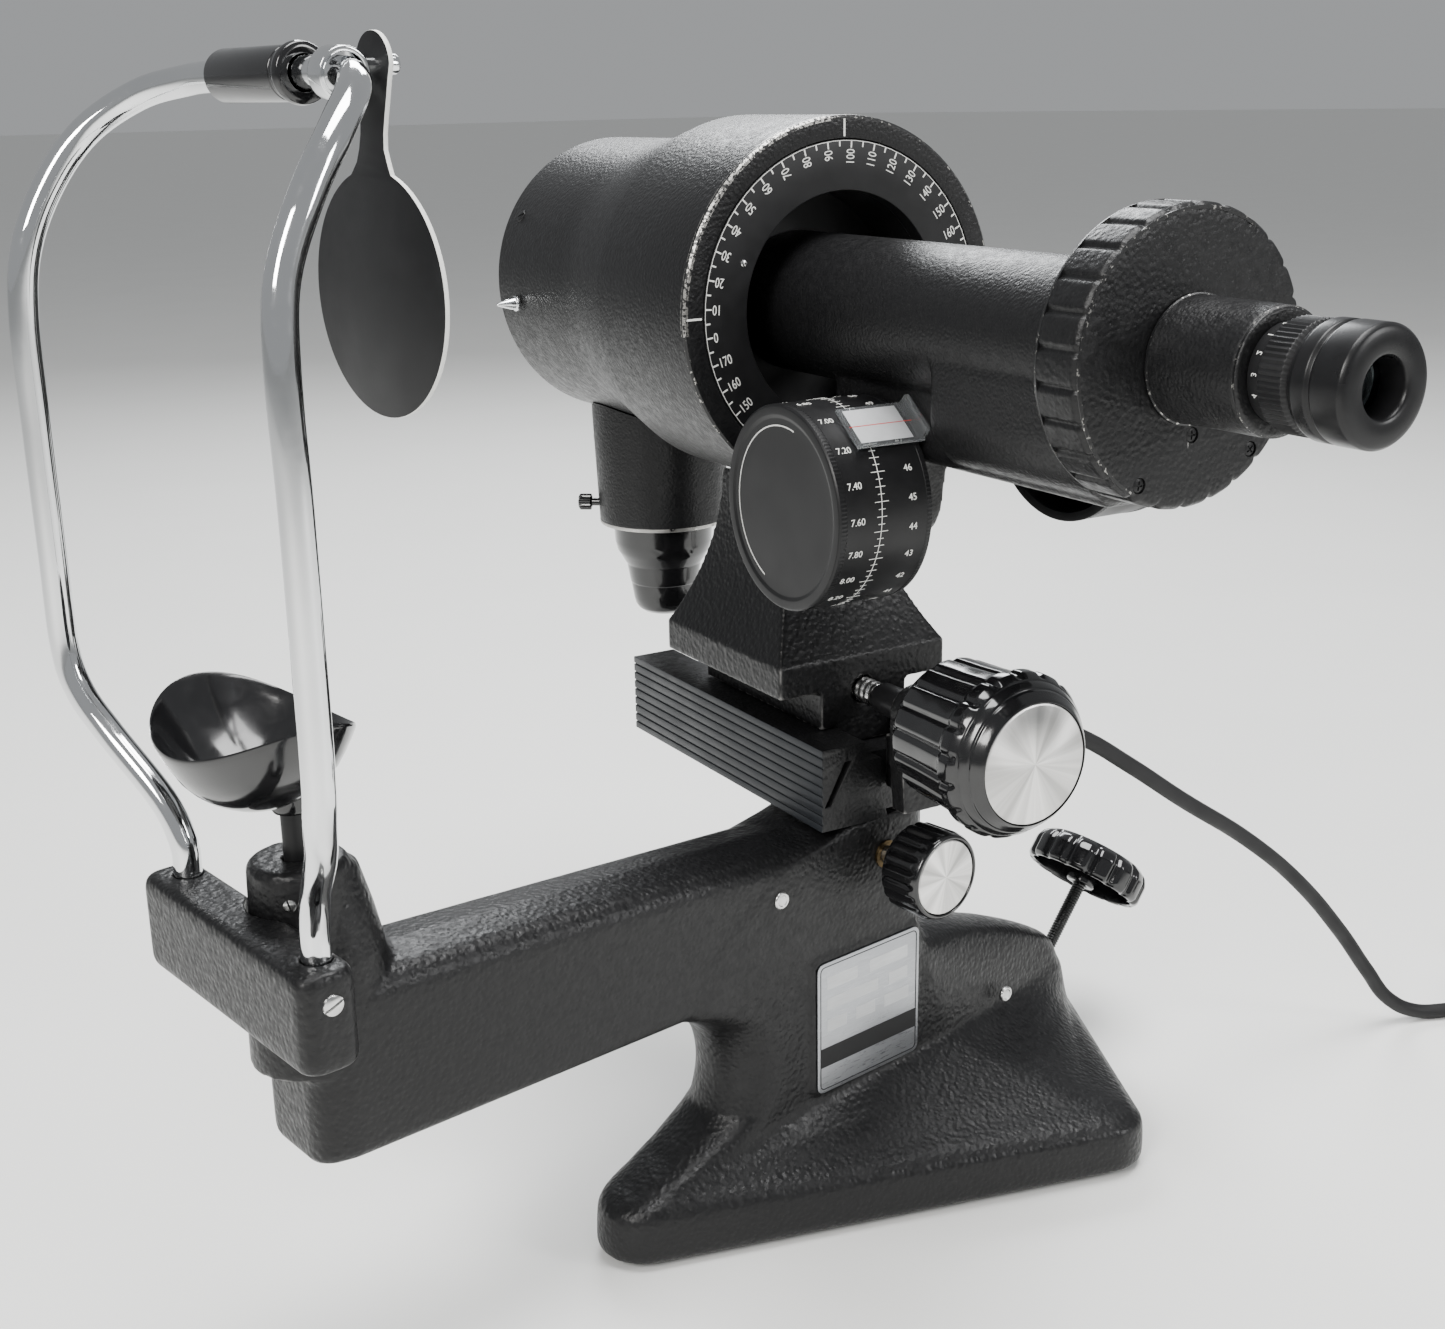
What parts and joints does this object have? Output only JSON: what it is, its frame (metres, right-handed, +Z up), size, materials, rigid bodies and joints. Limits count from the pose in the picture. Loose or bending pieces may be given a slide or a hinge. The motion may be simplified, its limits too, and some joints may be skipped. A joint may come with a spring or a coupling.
{
  "type": "table keratometer",
  "caption": "Table keratometer: cast base with arm, chin and head rest, swivelling slide, round dial housing, rotating telescope barrel, knobs and mains lead.",
  "frame": {"origin": "the middle of the object without its cord, on the surface that it stands on", "axes": "+Z up, -X towards the patient, +X towards the lock knob; the telescope is swivelled aside as pictured, its eyepiece towards -Y"},
  "size_m": [0.824, 0.5276, 0.537],
  "materials": {
    "black_casting": "semi-gloss black wrinkle enamel",
    "grey_paint": "satin grey paint",
    "satin_black": "satin black with white markings",
    "gloss_black": "polished black moulding",
    "chrome": "bright polished plating",
    "steel": "turned steel, lightly oiled",
    "spun_aluminium": "spun radial brushing",
    "brass": "machined",
    "rubber": "smooth black rubber",
    "clear_plastic": "clear acrylic",
    "lens_glass": "coated lens glass"
  },
  "bodies": {
    "base": {"base_casting": "black_casting", "base_cover": "grey_paint", "foot_pad_front": "rubber", "foot_pad_left": "rubber", "foot_pad_right": "rubber", "rating_plate": "spun_aluminium", "arm_plug": "steel", "hump_plug": "steel", "elevation_bush": "brass", "headrest_bar": "black_casting", "headrest_tube_left": "chrome", "headrest_tube_right": "chrome", "crown_sleeve": "gloss_black", "occluder_pivot": "chrome"},
    "occluder": {"occluder": "satin_black"},
    "chin_rest": {"chin_cup": "gloss_black", "chin_post": "satin_black"},
    "lock": {"lock_knob": "gloss_black", "lock_screw": "steel"},
    "elevation": {"elevation_knob": "gloss_black", "elevation_insert": "spun_aluminium", "elevation_pinion": "steel"},
    "lift": {"lift_column": "steel"},
    "swivel": {"slide_bed": "black_casting", "screw_bracket": "black_casting", "cord_gland": "rubber", "cord_tube": "rubber", "cord_coil": "rubber", "cord_plug": "rubber"},
    "focus": {"focus_knob": "gloss_black", "focus_insert": "spun_aluminium", "focus_screw": "steel"},
    "carriage": {"carriage_saddle": "black_casting", "housing": "black_casting", "barrel_bearing": "brass", "front_plate": "satin_black", "mire_glass": "lens_glass", "objective_lens": "lens_glass", "sight_pin_left": "chrome", "sight_pin_right": "chrome", "lamp_house": "black_casting", "lamp_cap": "gloss_black", "lamp_bulb": "lens_glass"},
    "lamp_lock": {"lamp_screw": "gloss_black"},
    "barrel": {"degree_dial": "satin_black", "barrel_carrier": "satin_black", "barrel_casting": "black_casting", "rear_cover": "black_casting", "eyepiece_neck": "black_casting", "horizontal_cursor": "clear_plastic", "vertical_cursor": "clear_plastic"},
    "horizontal_drum": {"horizontal_drum": "satin_black", "horizontal_drum_shaft": "steel"},
    "vertical_drum": {"vertical_drum": "satin_black", "vertical_drum_shaft": "steel"},
    "horizontal_prism": {"horizontal_prism": "lens_glass"},
    "vertical_prism": {"vertical_prism": "lens_glass"},
    "eyepiece": {"diopter_ring": "satin_black", "eyecup": "gloss_black", "eye_lens": "lens_glass"}
  },
  "joints": [
    {"name": "head_lift", "type": "slide", "parent": "base", "child": "lift", "axis": [0, 0, 1], "range_m": [0, 0.03]},
    {"name": "head_swivel", "type": "hinge", "parent": "lift", "child": "swivel", "pos_m": [0.06153, 0.03208, 0.205], "axis": [0, 0, 1], "range_deg": [0, 103]},
    {"name": "elevation_turn", "type": "hinge", "parent": "base", "child": "elevation", "pos_m": [0.05953, -0.02792, 0.1695], "axis": [0, -1, 0], "range_deg": [-2, 310]},
    {"name": "lock_turn", "type": "hinge", "parent": "base", "child": "lock", "pos_m": [0.21853, 0.03208, 0.064], "axis": [0.6429, 0, 0.7659], "range_deg": [-360, 60]},
    {"name": "chin_lift", "type": "slide", "parent": "base", "child": "chin_rest", "axis": [0, 0, 1], "range_m": [-0.014, 0.04]},
    {"name": "occluder_swing", "type": "hinge", "parent": "base", "child": "occluder", "pos_m": [-0.20377, -0.02092, 0.5265], "axis": [1, 0, 0], "range_deg": [-110, 110]},
    {"name": "carriage_slide", "type": "slide", "parent": "swivel", "child": "carriage", "axis": [-0.1702, -0.9854, 0], "range_m": [-0.03, 0.012]},
    {"name": "focus_turn", "type": "hinge", "parent": "swivel", "child": "focus", "pos_m": [0.04111, -0.08617, 0.248], "axis": [-0.1702, -0.9854, 0], "range_deg": [-905, 365]},
    {"name": "lamp_screw_turn", "type": "hinge", "parent": "carriage", "child": "lamp_lock", "pos_m": [0.06472, 0.23855, 0.304], "axis": [-0.6862, 0.7274, 0], "range_deg": [-360, 0]},
    {"name": "barrel_turn", "type": "hinge", "parent": "carriage", "child": "barrel", "pos_m": [0.06153, 0.03208, 0.4234], "axis": [-0.1702, -0.9854, 0], "range_deg": [-97, 83]},
    {"name": "horizontal_turn", "type": "hinge", "parent": "barrel", "child": "horizontal_drum", "pos_m": [-0.00525, -0.00205, 0.3484], "axis": [0.9854, -0.1702, 0], "range_deg": [-200, 150]},
    {"name": "vertical_turn", "type": "hinge", "parent": "barrel", "child": "vertical_drum", "pos_m": [0.10295, -0.08062, 0.3864], "axis": [0.9854, -0.1702, 0], "range_deg": [-200, 150]},
    {"name": "horizontal_prism_slide", "type": "slide", "parent": "barrel", "child": "horizontal_prism", "axis": [-0.1702, -0.9854, 0], "range_m": [-0.0095, 0.0095]},
    {"name": "vertical_prism_slide", "type": "slide", "parent": "barrel", "child": "vertical_prism", "axis": [-0.1702, -0.9854, 0], "range_m": [-0.0095, 0.0095]},
    {"name": "diopter_turn", "type": "hinge", "parent": "barrel", "child": "eyepiece", "pos_m": [0.01557, -0.23398, 0.4234], "axis": [-0.1702, -0.9854, 0], "range_deg": [-120, 120]}
  ],
  "couplings": [
    {"joint": "elevation_turn", "follows": "head_lift", "rad_per_m": 178.57},
    {"joint": "focus_turn", "follows": "carriage_slide", "rad_per_m": 523.6},
    {"joint": "horizontal_prism_slide", "follows": "horizontal_turn", "m_per_rad": 0.0025},
    {"joint": "vertical_prism_slide", "follows": "vertical_turn", "m_per_rad": 0.0025}
  ]
}
